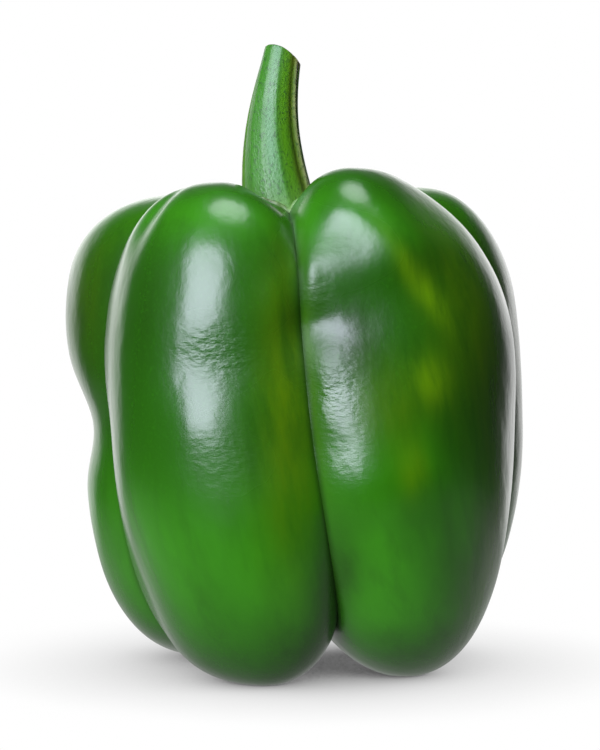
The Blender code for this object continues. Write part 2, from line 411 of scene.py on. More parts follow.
# What the skin mirrors of the floor, by places and distances from the pepper in
# metres. A dark spot lies in front of it. Round it, the floor's light falls off to
# a faint share, and towards the wall it sets in again.
DARK_SPOT = (0.05, -0.45, 0.0)
DARK_SPOT_EDGE = (0.34, 0.48)
DARK_SPOT_SHARE = 0.12
NEAR_EDGE = (0.08, 0.26)
FAR_SHARE = 0.08
NEAR_STRENGTH = 0.45
BEHIND_EDGE = (0.10, 0.26)
FLOOR_STRENGTH = 1.45

# How light the floor is painted for each share of open space above it: a painted soft shadow under the
# pepper.
PAINTED_FLOOR_SHADOW = ((0.0, 0.06), (0.08, 0.36), (0.30, 0.58), (0.55, 0.79), (0.88, 1.0))

# The floor lies this little under the feet.
FLOOR_HEIGHT = -0.0001

# The photograph's viewing angle, as a lens and its film's width in millimetres.
LENS = 192.0
FILM_WIDTH = 36.0


def colour_setting(name, description, default):
    """A colour that a user can change in the sidebar."""
    return bpy.props.FloatVectorProperty(
        name=name, description=description, default=default, subtype="COLOR", size=3, min=0.0, max=1.0
    )


def share_setting(name, description, default):
    """A number from 0 to 1 that a user can change in the sidebar."""
    return bpy.props.FloatProperty(
        name=name, description=description, default=default, subtype="FACTOR", min=0.0, max=1.0
    )


def length_setting(name, description, default):
    """A length in metres that a user can change in the sidebar."""
    return bpy.props.FloatProperty(
        name=name, description=description, default=default, unit="LENGTH", min=0.0, precision=5
    )


class PepperSkinSettings(bpy.types.PropertyGroup):
    """Colours and surface of the fruit's skin."""

    deep: colour_setting("Deep green", "Green of most of the wall", (0.0085, 0.056, 0.001))
    # The grass green is also painted light: brighter low all round and at the shoulders, where the floor's
    # bounce and the overhead lamp fall.
    grass: colour_setting("Grass green", "Brighter green, low and at the shoulders", (0.023, 0.155, 0.002))
    olive: colour_setting("Olive", "Warm green beside the grooves", (0.041, 0.094, 0.0002))
    yellow: colour_setting("Yellow green", "Streaks that start to ripen", (0.062, 0.145, 0.0006))
    shade: colour_setting("Bottle green", "Darkest green of the wall", (0.006, 0.028, 0.001))
    # Crease: a painted highlight, the pale glint down the front groove.
    crease: colour_setting("Crease", "Pale line in the front groove", (0.08, 0.18, 0.06))
    cork: colour_setting("Cork", "Dry scar under the fruit", (0.16, 0.11, 0.05))
    roughness: share_setting("Roughness", "How blurred the skin's gloss is", 0.235)
    ripple_depth: length_setting("Ripple depth", "Depth of the skin's small unevenness", 0.00010)
    wrinkle_depth: length_setting("Wrinkle depth", "Depth of the fine cross wrinkles", 0.00035)
    pore_depth: length_setting("Pore depth", "Depth of the skin's finest grain", 0.000006)


class PepperStemSettings(bpy.types.PropertyGroup):
    """Colours and surface of the stem and its calyx."""

    green: colour_setting("Stem green", "Green of the stem's sides", (0.022, 0.108, 0.005))
    olive: colour_setting("Stem olive", "Warm green between the ribs", (0.058, 0.105, 0.0005))
    base: colour_setting("Base", "Pale yellow green of the calyx", (0.12, 0.26, 0.05))
    scar: colour_setting("Calyx scar", "Dry grey brown of the calyx's edge", (0.09, 0.10, 0.06))
    tip: colour_setting("Dry tip", "Brown of the cut's dry corner", (0.09, 0.055, 0.015))
    flesh: colour_setting("Cut face", "Pale fibres of the cut", (0.38, 0.42, 0.20))
    grass: colour_setting("Stem grass green", "Bright green right of the front rib", (0.05, 0.17, 0.002))
    ridge: colour_setting("Ridge", "Pale brown of the thin rib on the right", (0.26, 0.25, 0.12))
    # Painted sheen: a pale bluish stripe down the stem's front, where the lamp's sheen falls.
    painted_sheen: colour_setting("Bloom", "Pale bluish wax on the stem's front", (0.10, 0.22, 0.12))
    speck: colour_setting("Specks", "Small dark dots on the stem", (0.012, 0.045, 0.008))
    pith: colour_setting("Pith", "Middle of the cut", (0.52, 0.52, 0.33))
    roughness: share_setting("Roughness", "How blurred the stem's sheen is", 0.46)
    fibre_depth: length_setting("Fibre depth", "Depth of the grain along the stem", 0.00004)


class PepperStageSettings(bpy.types.PropertyGroup):
    """Floor, lamps and camera."""

    floor_half_size: length_setting("Floor half size", "From the pepper to the floor's edge", 9.0)
    shadow_reach: length_setting("Shadow reach", "How far out the floor's soft shadow starts", 0.05)
    camera_distance: length_setting("Camera distance", "From the pepper's middle to the camera", 0.80)
    camera_height: length_setting("Camera height", "From the floor to the camera", 0.128)
    aim_height: length_setting("Aim height", "Height that the camera looks at", 0.0585)
    aim_across: bpy.props.FloatProperty(
        name="Aim across",
        description="How far to the right the camera looks",
        default=0.00105,
        unit="LENGTH",
    )
    lamp_strength: bpy.props.FloatProperty(
        name="Lamp strength", description="Share of each lamp's own strength", default=1.0, min=0.0
    )


def between(start, end, share):
    """The value at this share of the way from start to end."""
    return start + (end - start) * share


def eased(share):
    """A share of a way that starts and ends level."""
    return (1.0 - np.cos(math.pi * share)) / 2.0


def turn_to(azimuth, other):
    """Degrees from one azimuth to another, the short way round."""
    return (other - azimuth + 180.0) % 360.0 - 180.0


def hump(away):
    """1 where away is 0, falling softly to nothing past 2."""
    return np.exp(-(away**2))


def right_and_back(distances, azimuths):
    """How far to the right and to the back these places are from the axis."""
    angles = np.radians(azimuths)
    return distances * np.sin(angles), -distances * np.cos(angles)


def meridian_points(meridian):
    """(distances, heights) down one meridian, from the axis to the axis."""
    shoulder_r, shoulder_z = meridian.shoulder
    belly_r, belly_z = meridian.belly
    foot_r, foot_z = meridian.foot
    inward = np.arange(ROWS_CAVITY) / ROWS_CAVITY
    above = np.arange(ROWS_ABOVE_BELLY) / ROWS_ABOVE_BELLY * math.pi / 2
    below = np.arange(ROWS_BELOW_BELLY) / ROWS_BELOW_BELLY * math.pi / 2
    under = np.arange(ROWS_UNDER + 1) / ROWS_UNDER
    distances = np.concatenate(
        [
            shoulder_r * inward,
            between(shoulder_r, belly_r, np.sin(above) ** (2 / SQUARENESS_ABOVE)),
            between(foot_r, belly_r, np.cos(below) ** (2 / SQUARENESS_BELOW)),
            foot_r * (1.0 - under),
        ]
    )
    heights = np.concatenate(
        [
            between(CAVITY_FLOOR, shoulder_z, eased(inward)),
            between(belly_z, shoulder_z, np.cos(above) ** (2 / SQUARENESS_ABOVE)),
            between(belly_z, foot_z, np.sin(below) ** (2 / SQUARENESS_BELOW)),
            between(foot_z, DIMPLE_ROOF, eased(under)),
        ]
    )
    return distances, heights


def nearness_to_ends():
    """For each row, 0 at the belly and 1 at the cavity and the dimple."""
    above = np.linspace(1.0, 0.0, ROWS_ABOVE_BELLY, endpoint=False)
    below = np.linspace(0.0, 1.0, ROWS_BELOW_BELLY, endpoint=False)
    return np.concatenate([np.ones(ROWS_CAVITY), above**2, below**2, np.ones(ROWS_UNDER + 1)])


def crest_share(across, ends):
    """How far the wall stands out from the groove (0) to the crest (1).

    across is 0 on the crest and 1 in the groove.
    """
    return (1.0 - across**2) ** between(ROUNDNESS_MIDDLE, ROUNDNESS_END, ends)


class Wall(NamedTuple):
    """The fruit's wall as a grid: a row for each level, a column for each meridian.

    straight is a point's azimuth without the lobes' turn, across is 0 on a crest
    and 1 in a groove, and points is (x, y, height).
    """

    azimuths: np.ndarray
    heights: np.ndarray
    straight: np.ndarray
    across: np.ndarray
    points: np.ndarray

    @property
    def radius(self):
        """Each point's distance from the axis."""
        return np.hypot(self.points[..., 0], self.points[..., 1])


def half_lobe(crest, groove):
    """Azimuths, distances, heights, straight azimuths and across, crest to groove."""
    crest_r, crest_z = meridian_points(crest)
    groove_r, groove_z = meridian_points(groove)
    steps = np.arange(COLUMNS_PER_HALF_LOBE + 1)[:, None] / COLUMNS_PER_HALF_LOBE
    across = np.sin(steps * math.pi / 2) + 0.0 * crest_r
    share = crest_share(across, nearness_to_ends())
    heights = between(groove_z, crest_z, share)
    low = 1.0 - np.clip(heights / TURN_HEIGHT, 0.0, 1.0)
    straight = crest.azimuth + turn_to(crest.azimuth, groove.azimuth) * across
    azimuths = straight + between(crest.turn, groove.turn, across) * low**3
    return np.stack([azimuths, between(groove_r, crest_r, share), heights, straight, across])


def swell_rise(azimuths, heights):
    """Millimetres that the wall rises at these azimuths and heights."""
    rise = np.zeros_like(heights)
    for swell in SWELLS + FINE_SWELLS:
        aside = turn_to(swell.azimuth, azimuths) / swell.half_angle
        away = np.hypot(aside, (heights - swell.height) / swell.half_height)
        rise += swell.rise * hump(away)
    for waves_round, waves_up, wave_rise, start in WAVES:
        phase = np.radians(azimuths) * waves_round
        phase = phase + heights / TURN_HEIGHT * waves_up * 2.0 * math.pi + start
        rise += wave_rise * np.sin(phase)
    return rise


def hollow_depth(right, back, heights):
    """Millimetres that the left shoulder's hollow takes off the height."""
    away = np.hypot(right - HOLLOW_MIDDLE[0], back - HOLLOW_MIDDLE[1]) / HOLLOW_RADIUS
    onset = np.clip((heights - CAVITY_FLOOR) / HOLLOW_ONSET, 0.0, 1.0)
    return HOLLOW_DEPTH * hump(away) * onset


def ripple_rise(right, back, heights):
    """Millimetres of irregular ripple at these places, given in millimetres."""
    places = np.stack([right, back, heights], axis=-1).reshape(-1, 3) * MM
    rise = np.zeros(len(places))
    for per_metre, height in RIPPLES:
        rise += [height * noise.noise(Vector(place * per_metre)) for place in places]
    return rise.reshape(heights.shape)


def fruit_wall():
    """The fruit's wall, from the cavity's middle down to the dimple's."""
    halves = []
    for number, crest in enumerate(CRESTS):
        before = GROOVES[number]
        after = GROOVES[(number + 1) % len(GROOVES)]
        halves.append(half_lobe(crest, before)[:, :0:-1])
        halves.append(half_lobe(crest, after)[:, :-1])
    columns = np.concatenate(halves, axis=1)
    azimuths, distances, heights, straight, across = columns.transpose(0, 2, 1)
    outward = np.clip(distances / SWELL_REACH, 0.0, 1.0) ** 2
    distances = distances + swell_rise(azimuths, heights) * outward
    ripples = ripple_rise(*right_and_back(distances, azimuths), heights)
    right, back = right_and_back(distances + ripples * outward, azimuths)
    right = right + LEAN * (heights / TURN_HEIGHT) ** 3
    heights = heights - hollow_depth(right, back, heights)
    points = np.stack([right, back, np.maximum(heights, 0.0)], axis=-1)
    return Wall(azimuths, heights, straight, across, points)


def joined(grid):
    """A grid's values in a row: its first level's one value, the levels, its last."""
    inner = grid[1:-1].reshape(-1, *grid.shape[2:])
    return np.concatenate([grid[0, :1], inner, grid[-1, :1]])


def closed_faces(levels, columns):
    """Faces of a closed skin of rings between its two end points."""
    column = np.arange(columns)
    after = (column + 1) % columns
    pairs = list(zip(column.tolist(), after.tolist()))
    faces = [(0, 1 + here, 1 + there) for here, there in pairs]
    for level in range(levels - 3):
        upper, lower = 1 + level * columns, 1 + (level + 1) * columns
        quads = np.stack([upper + column, lower + column, lower + after, upper + after], axis=-1)
        faces += quads.tolist()
    lowest = 1 + (levels - 3) * columns
    end = lowest + columns
    faces += [(lowest + here, end, lowest + there) for here, there in pairs]
    return faces


def crisp_columns(mesh, columns, crisp):
    """Stops the smooth shading across these columns of a mesh of rings."""
    ends = np.empty(len(mesh.edges) * 2, dtype=np.int32)
    mesh.edges.foreach_get("vertices", ends)
    low, high = np.sort(ends.reshape(-1, 2), axis=1).T
    upright = (high - low == columns) & (low > 0)
    sharp = upright & np.isin((low - 1) % columns, crisp)
    mesh.attributes.new("sharp_edge", "BOOLEAN", "EDGE").data.foreach_set("value", sharp)


def mesh_object(name, grid, marks, crisp=()):
    """A smooth mesh object from a grid of points, with marks kept on its points.

    The grid is in millimetres from the fruit's axis. Each mark is a grid of
    numbers or of vectors. Columns in crisp are not shaded smoothly.
    """
    points = (joined(grid) - np.array([*BOX_MIDDLE, 0.0])) * MM
    mesh = bpy.data.meshes.new(name)
    mesh.from_pydata(points.tolist(), [], closed_faces(*grid.shape[:2]))
    mesh.shade_smooth()
    crisp_columns(mesh, grid.shape[1], list(crisp))
    for mark, values in marks.items():
        flat = joined(values).astype(np.float32)
        if flat.ndim == 1:
            mesh.attributes.new(mark, "FLOAT", "POINT").data.foreach_set("value", flat)
        else:
            mesh.attributes.new(mark, "FLOAT_VECTOR", "POINT").data.foreach_set("vector", flat.ravel())
    thing = bpy.data.objects.new(name, mesh)
    bpy.context.scene.collection.objects.link(thing)
    return thing


def tone_marks(wall):
    """How strongly each tone shows at each point of the wall, from 0 to 1."""
    marks = {tone: np.zeros_like(wall.heights) for tone in TONES}
    for patch in PATCHES:
        up = wall.heights - patch.height
        middle = patch.azimuth + patch.drift * up
        away = np.hypot(turn_to(middle, wall.azimuths) / patch.half_angle, up / patch.half_height)
        marks[patch.tone] += patch.strength * hump(away)
    return {tone: np.clip(values, 0.0, 1.0) for tone, values in marks.items()}


def grain_mark(wall):
    """Places on the wall without the lobes' turn, so that grain follows the lobes."""
    right, back = right_and_back(wall.radius, wall.straight)
    return np.stack([right, back, wall.heights], axis=-1) * MM


def painted_glint_mark(wall):
    """1 on the painted highlight down the front groove, 0 elsewhere."""
    turned = turn_to(FRONT_GROOVE.azimuth, wall.straight)
    aside = np.radians(turned) * wall.radius
    up = np.clip((wall.heights - CREASE_BOTTOM) / (CREASE_TOP - CREASE_BOTTOM), 0.0, 1.0)
    outer = np.arange(len(wall.heights))[:, None] >= ROWS_CAVITY // 2
    return hump(aside / CREASE_HALF_WIDTH) * eased(up) * outer * (np.abs(turned) < CREASE_REACH)


def blossom_mark(wall):
    """1 on the dry scar under the fruit, 0 elsewhere."""
    under = np.arange(len(wall.heights))[:, None] >= len(wall.heights) - ROWS_UNDER
    return hump(wall.radius / BLOSSOM_SCAR_RADIUS) * under


class Nodes:
    """Short ways to add nodes to one material's or world's tree."""

    def __init__(self, owner):
        owner.use_nodes = True
        self.tree = owner.node_tree
        self.tree.nodes.clear()

    def add(self, kind, inputs=None, **settings):
        """A node with these settings, and its inputs linked or set."""
        node = self.tree.nodes.new(kind)
        for name, value in settings.items():
            setattr(node, name, value)
        for name, value in (inputs or {}).items():
            if isinstance(value, bpy.types.NodeSocket):
                self.tree.links.new(value, node.inputs[name])
            else:
                node.inputs[name].default_value = value
        return node

    def mark(self, name):
        """A number kept on the mesh's points."""
        return self.add("ShaderNodeAttribute", attribute_name=name).outputs["Fac"]

    def place(self, name, stretch=(1.0, 1.0, 1.0)):
        """A vector kept on the mesh's points, stretched along each axis."""
        kept = self.add("ShaderNodeAttribute", attribute_name=name).outputs["Vector"]
        scaled = {"Vector": kept, "Scale": stretch}
        return self.add("ShaderNodeMapping", scaled).outputs["Vector"]

    def noise(self, place, scale, detail=3.0, roughness=0.5):
        """Soft noise from 0 to 1, with this many features in a metre."""
        inputs = {"Vector": place, "Scale": scale, "Detail": detail, "Roughness": roughness}
        return self.add("ShaderNodeTexNoise", inputs).outputs["Fac"]

    def math(self, operation, first, second):
        """The two numbers put together, kept between 0 and 1."""
        inputs = {0: first, 1: second}
        return self.add("ShaderNodeMath", inputs, operation=operation, use_clamp=True).outputs[0]

    def spread(self, value, low, high, new_low=0.0, new_high=1.0):
        """The value, carried from low..high to new_low..new_high."""
        inputs = {"Value": value, "From Min": low, "From Max": high, "To Min": new_low, "To Max": new_high}
        return self.add("ShaderNodeMapRange", inputs).outputs["Result"]

    def ramp(self, value, stops):
        """A grey for each value, read between (value, grey) stops."""
        node = self.add("ShaderNodeValToRGB", {"Fac": value})
        elements = node.color_ramp.elements
        while len(elements) < len(stops):
            elements.new(0.5)
        for element, (position, grey) in zip(elements, stops):
            element.position = position
            element.color = (grey, grey, grey, 1.0)
        return node.outputs["Color"]

    def blend(self, share, first, second):
        """The first colour, or by share the second."""
        inputs = {0: share, 6: opaque(first), 7: opaque(second)}
        return self.add("ShaderNodeMix", inputs, data_type="RGBA").outputs[2]

    def tinted(self, colour, mark, tint, broken=1.0):
        """The colour, with the tint where a mark shows. broken weakens the mark."""
        return self.blend(self.math("MULTIPLY", self.mark(mark), broken), colour, tint)

    def bump(self, height, depth, normal=None, share=1.0):
        """The surface's normal, bent by a relief that is depth metres deep.

        height is the relief, from 0 to 1, and share is how strongly it shows.
        """
        inputs = {"Height": height, "Distance": depth, "Strength": share}
        if normal is not None:
            inputs["Normal"] = normal
        return self.add("ShaderNodeBump", inputs).outputs["Normal"]

    def measure(self, operation, *vectors):
        """A number from vectors, such as a length or a distance."""
        node = self.add("ShaderNodeVectorMath", dict(enumerate(vectors)), operation=operation)
        return node.outputs["Value"]

    def seen_and_mirrored(self, seen, mirrored):
        """One shader where the camera sees it, and the other for all other light."""
        is_seen = self.add("ShaderNodeLightPath").outputs["Is Camera Ray"]
        both = {0: is_seen, 1: mirrored.outputs[0], 2: seen.outputs[0]}
        return self.add("ShaderNodeMixShader", both)

    def finish(self, shader, kind="ShaderNodeOutputMaterial"):
        """Joins the last shader to the output."""
        output = self.add(kind)
        self.tree.links.new(shader.outputs[0], output.inputs["Surface"])


def opaque(colour):
    """A colour socket as it is, or three numbers with full opacity."""
    return colour if isinstance(colour, bpy.types.NodeSocket) else (*colour, 1.0)


def skin_material(skin):
    """Waxy green skin: tones by place, with painted light and shade among them, broken up along the lobes,
    fine relief.
    """
    material = bpy.data.materials.new("pepper_skin")
    nodes = Nodes(material)
    streaks = nodes.noise(nodes.place("grain", (1.0, 1.0, 0.16)), STREAK_GRAIN, 4.0, 0.6)
    clouds = nodes.noise(nodes.place("grain", (1.0, 1.0, 0.55)), CLOUD_GRAIN, 3.0)
    speckle = nodes.noise(nodes.place("grain"), SPECKLE_GRAIN, 2.0)
    uneven = nodes.spread(clouds, 0.35, 0.65, 0.6, 1.15)
    streaky = nodes.spread(streaks, 0.35, 0.65, 0.55, 1.25)
    colour = skin.deep
    for tone, broken in (("grass", uneven), ("shade", uneven), ("olive", streaky), ("yellow", streaky)):
        colour = nodes.tinted(colour, tone, getattr(skin, tone), broken)
    colour = nodes.blend(nodes.spread(speckle, 0.55, 0.8, 0.0, 0.12), colour, skin.grass)
    colour = nodes.blend(nodes.spread(streaks, 0.5, 0.3, 0.0, 0.22), colour, skin.shade)
    # Painted shade along the bottoms of the grooves.
    colour = nodes.tinted(colour, "painted_groove_shade", skin.shade, GROOVE_SHADE_STRENGTH)
    # Painted highlight down the front groove.
    colour = nodes.tinted(colour, "crease", skin.crease)
    colour = nodes.tinted(colour, "blossom", skin.cork)
    ripples = nodes.noise(nodes.place("grain", (1.0, 1.0, 0.6)), RIPPLE_GRAIN, 3.0)
    wrinkles = nodes.noise(nodes.place("grain", (0.55, 0.55, 1.0)), WRINKLE_GRAIN, 2.0)
    pores = nodes.noise(nodes.place("grain"), PORE_GRAIN, 1.0)
    relief = nodes.bump(ripples, skin.ripple_depth)
    relief = nodes.bump(wrinkles, skin.wrinkle_depth, relief, nodes.mark("wrinkle"))
    relief = nodes.bump(pores, skin.pore_depth, relief)
    gloss = nodes.spread(clouds, 0.3, 0.7, skin.roughness, skin.roughness + 0.03)
    gloss = nodes.math("ADD", gloss, nodes.math("MULTIPLY", nodes.mark("dull"), DULL_ROUGHNESS))
    inputs = {"Base Color": colour, "Roughness": gloss, "IOR": SKIN_IOR, "Normal": relief}
    nodes.finish(nodes.add("ShaderNodeBsdfPrincipled", inputs))
    return material


def stem_material(stem):
    """Fibrous green stem with a painted sheen down its front, a pale calyx and a dry brown edge."""
    material = bpy.data.materials.new("stem_bark")
    nodes = Nodes(material)
    fibres = nodes.noise(nodes.place("grain", (1.0, 1.0, 0.08)), FIBRE_GRAIN, 3.0, 0.6)
    dots = nodes.noise(nodes.place("grain", (1.0, 1.0, 0.7)), DOT_GRAIN, 2.0)
    clouds = nodes.noise(nodes.place("grain", (1.0, 1.0, 0.4)), STEM_CLOUD_GRAIN, 3.0)
    uneven = nodes.spread(clouds, 0.3, 0.7, 0.5, 1.3)
    colour = nodes.tinted(stem.green, "olive", stem.olive, uneven)
    colour = nodes.tinted(colour, "grass", stem.grass)
    colour = nodes.tinted(colour, "ridge", stem.ridge, uneven)
    colour = nodes.tinted(colour, "base", stem.base, uneven)
    colour = nodes.blend(nodes.spread(fibres, 0.5, 0.75, 0.0, 0.12), colour, stem.base)
    # Painted sheen down the stem's front, weaker towards its foot.
    colour = nodes.tinted(colour, "painted_sheen", stem.painted_sheen, uneven)
    colour = nodes.blend(nodes.spread(dots, 0.55, 0.66, 0.0, 0.6), colour, stem.speck)
    colour = nodes.tinted(colour, "scar", stem.scar, uneven)
    colour = nodes.tinted(colour, "tip", stem.tip, uneven)
    relief = nodes.bump(fibres, stem.fibre_depth)
    relief = nodes.bump(dots, stem.fibre_depth * 3.0, relief)
    gloss = nodes.spread(clouds, 0.3, 0.7, stem.roughness - 0.06, stem.roughness + 0.1)
    inputs = {"Base Color": colour, "Roughness": gloss, "IOR": STEM_IOR, "Normal": relief}
    nodes.finish(nodes.add("ShaderNodeBsdfPrincipled", inputs))
    return material


def cut_material(stem):
    """The stem's cut face: pale fibres round a lighter pith."""
    material = bpy.data.materials.new("stem_cut")
    nodes = Nodes(material)
    dots = nodes.noise(nodes.place("grain"), CUT_GRAIN, 3.0, 0.6)
    colour = nodes.tinted(stem.flesh, "pith", stem.pith)
    colour = nodes.blend(nodes.spread(dots, 0.45, 0.7, 0.0, 0.6), colour, stem.scar)
    colour = nodes.tinted(colour, "tip", stem.tip)
    relief = nodes.bump(dots, stem.fibre_depth * 2.0)
    inputs = {"Base Color": colour, "Roughness": CUT_ROUGHNESS, "Normal": relief}
    nodes.finish(nodes.add("ShaderNodeBsdfPrincipled", inputs))
    return material


class Cavity:
    """The cavity's wall, read at an angle and a distance from its middle."""

    def __init__(self, wall):
        spokes = wall.points[: ROWS_CAVITY + 1]
        self.middle = spokes[0, 0, 0]
        right, back, heights = spokes[..., 0] - self.middle, spokes[..., 1], spokes[..., 2]
        angles = np.arctan2(right[-1], -back[-1])
        order = np.argsort(angles)
        self.angles = angles[order]
        reach = np.hypot(right, back)
        self.table = np.array([np.interp(CAVITY_DISTANCES, reach[:, n], heights[:, n]) for n in order])

    def angle_and_distance(self, point):
        """Where a point is, seen from the cavity's middle."""
        right = point[0] - self.middle
        return math.atan2(right, -point[1]), math.hypot(right, point[1])

    def profile(self, angle):
        """The wall's heights at this angle, for each of CAVITY_DISTANCES."""
        return [np.interp(angle, self.angles, heights, period=2.0 * math.pi) for heights in self.table.T]

    def point_over(self, angle, profile, distance, rise):
        """The point at this rise over the wall."""
        height = np.interp(distance, CAVITY_DISTANCES, profile) + rise
        right = self.middle + distance * math.sin(angle)
        return np.array([right, -distance * math.cos(angle), height])


def rib_shape(azimuths):
    """The stem's outline as a share of its radius: a polygon with soft corners."""
    corners = np.array([*RIB_AZIMUTHS, RIB_AZIMUTHS[0] + 360.0])
    round_once = (azimuths - corners[0]) % 360.0 + corners[0]
    facet = np.searchsorted(corners, round_once, side="right") - 1
    start, end = corners[facet], corners[facet + 1]
    from_middle = np.radians(round_once - (start + end) / 2.0)
    flat = np.cos(np.radians(end - start) / 2.0) / np.cos(from_middle)
    return between(1.0, flat, RIB_SHARPNESS)


def furrow_depth(azimuths, share):
    """Millimetres that the stem's furrows cut in, at this share of its length."""
    fade = 1.0 - FURROW_FADE * share**4
    depth = sum(f.depth * hump(turn_to(f.azimuth, azimuths) / f.half_angle) for f in FURROWS)
    return depth * fade


def stem_radius(share):
    """The stem's radius at this share of the way from its foot to its top."""
    return between(STEM_RADIUS_TOP, STEM_RADIUS_FOOT, (1.0 - share) ** STEM_TAPER)


def stem_ring(share, reach_share=1.0):
    """The stem's outline at this share of the way from its foot to its top."""
    centre = between(np.array(STEM_FOOT), np.array(STEM_TOP), share)
    centre[0] += STEM_BOW * math.sin(math.pi * share)
    straight = STEM_AZIMUTHS - RIB_TURN * share
    reach = stem_radius(share) * rib_shape(straight)
    reach = (reach - furrow_depth(straight, share)) * reach_share
    right, back = right_and_back(reach, STEM_AZIMUTHS)
    rightness = np.maximum(0.0, (1.0 + right / STEM_RADIUS_TOP) / 2.0)
    drop = CUT_DROP * rightness**CUT_CURVE
    fall = (drop + CUT_FALL_BACK * back) * share**CUT_BEND
    return centre + np.stack([right, back, -fall], axis=-1)


def cut_rings():
    """Rings of the cut face, from its middle out to its rounded edge."""
    rings = []
    for step in range(CUT_RINGS + 1):
        out = step / CUT_RINGS
        ring = stem_ring(1.0, out * (1.0 - CUT_EDGE / STEM_RADIUS_TOP))
        ring[:, 2] += CUT_RISE - CUT_DISH * (1.0 - out**2)
        rings.append(ring)
    return rings


def calyx_rim(angle):
    """The calyx's radius at an angle, with a tooth below each rib."""
    aside = min(abs(turn_to(rib, math.degrees(angle))) for rib in RIB_AZIMUTHS)
    ragged = sum(rise * math.sin(angle * waves + start) for waves, rise, start in CALYX_RAGGED)
    return CALYX_RADIUS + CALYX_TOOTH * hump(aside / TOOTH_HALF_ANGLE) + ragged


def calyx_rings(wall, foot_ring):
    """Rings of the calyx: out over the cavity's wall, then back underneath."""
    cavity = Cavity(wall)
    spokes = []
    for point in foot_ring:
        angle, start = cavity.angle_and_distance(point)
        profile = cavity.profile(angle)
        skin = cavity.point_over(angle, profile, start, CALYX_GAP + CALYX_THICKNESS)
        spokes.append((angle, profile, start, calyx_rim(angle), point[2] - skin[2]))
    rings = []
    for step in range(1, FLARE_RINGS + 1):
        out = step / FLARE_RINGS
        thickness = CALYX_THICKNESS * (1.0 - out**6) ** 0.5
        ring = []
        for angle, profile, start, rim, lift in spokes:
            rise = CALYX_GAP + thickness + lift * (1.0 - out) ** FLARE_STEEPNESS
            ring.append(cavity.point_over(angle, profile, between(start, rim, out), rise))
        rings.append(np.array(ring))
    for step in range(1, CALYX_UNDER_RINGS + 1):
        share = 1.0 - step / CALYX_UNDER_RINGS
        ring = [
            cavity.point_over(angle, profile, rim * share, CALYX_GAP - CALYX_SINK)
            for angle, profile, _, rim, _ in spokes
        ]
        rings.append(np.array(ring))
    return rings


def stripes(tone, straight):
    """How strongly this tone's stripes show at these azimuths."""
    own = [stripe for stripe in STRIPES if stripe.tone == tone]
    return sum(s.strength * hump(turn_to(s.azimuth, straight) / s.half_angle) for s in own)


def stem_marks(shares, outs):
    """Where the stem's tones show.

    shares is up the stem, and goes on from 1 at the cut's edge to 2 at its
    middle. outs is out on the calyx.
    """
    straight = STEM_AZIMUTHS - RIB_TURN * np.clip(shares, 0.0, 1.0)
    on_stem = outs <= 0.0
    # The painted sheen fades out towards the stem's foot.
    upright = np.clip(shares / 0.35, 0.0, 1.0) * (shares <= 1.0)
    pale = hump((outs - 0.75) / 0.4) * (outs > 0.0) + 0.8 * hump(shares / 0.12) * on_stem
    dry_rim = np.clip((outs - 0.72) / 0.2, 0.0, 1.0)
    dry_end = np.clip((shares - 0.93) / 0.07, 0.0, 1.0)
    marks = {
        "olive": stripes("olive", straight),
        "base": pale * (0.55 + 0.45 * hump(turn_to(14.0, STEM_AZIMUTHS) / 50.0)),
        "scar": dry_rim * (0.25 + 0.75 * hump(turn_to(-25.0, STEM_AZIMUTHS) / 25.0)),
        "tip": dry_end * hump(turn_to(85.0, STEM_AZIMUTHS) / 40.0),
        "pith": hump((2.0 - shares) / 0.55) * (shares > 1.0),
        "painted_sheen": stripes("painted_sheen", straight) * upright,
        "grass": stripes("grass", straight) * on_stem,
        "ridge": stripes("ridge", straight) * on_stem,
    }
    return {name: np.clip(values + 0.0 * straight, 0.0, 1.0) for name, values in marks.items()}


def stem_grid(wall):
    """The stem's points, and for each ring its share up and its share out."""
    cut = cut_rings()
    sides = [stem_ring(1.0 - step / STEM_RINGS) for step in range(STEM_RINGS + 1)]
    calyx = calyx_rings(wall, sides[-1])
    grid = np.stack(cut + sides + calyx)
    shares = [2.0 - step / CUT_RINGS for step in range(CUT_RINGS + 1)]
    shares += [1.0 - step / STEM_RINGS for step in range(STEM_RINGS + 1)]
    shares += [0.0] * len(calyx)
    outs = [0.0] * (len(cut) + len(sides))
    outs += [step / FLARE_RINGS for step in range(1, FLARE_RINGS + 1)]
    outs += [1.0] * CALYX_UNDER_RINGS
    return grid, np.array(shares)[:, None], np.array(outs)[:, None]


def stem_grain(shares, outs):
    """Places along the stem's length and round it, for its grain."""
    up = np.clip(shares, 0.0, 1.0)
    straight = STEM_AZIMUTHS - RIB_TURN * up
    right, back = right_and_back(stem_radius(up) * np.clip(2.0 - shares, 0.02, 1.0), straight)
    along = (STEM_TOP[2] - STEM_FOOT[2]) * shares - CALYX_RADIUS * outs
    return np.stack([right, back, along + 0.0 * straight], axis=-1) * MM


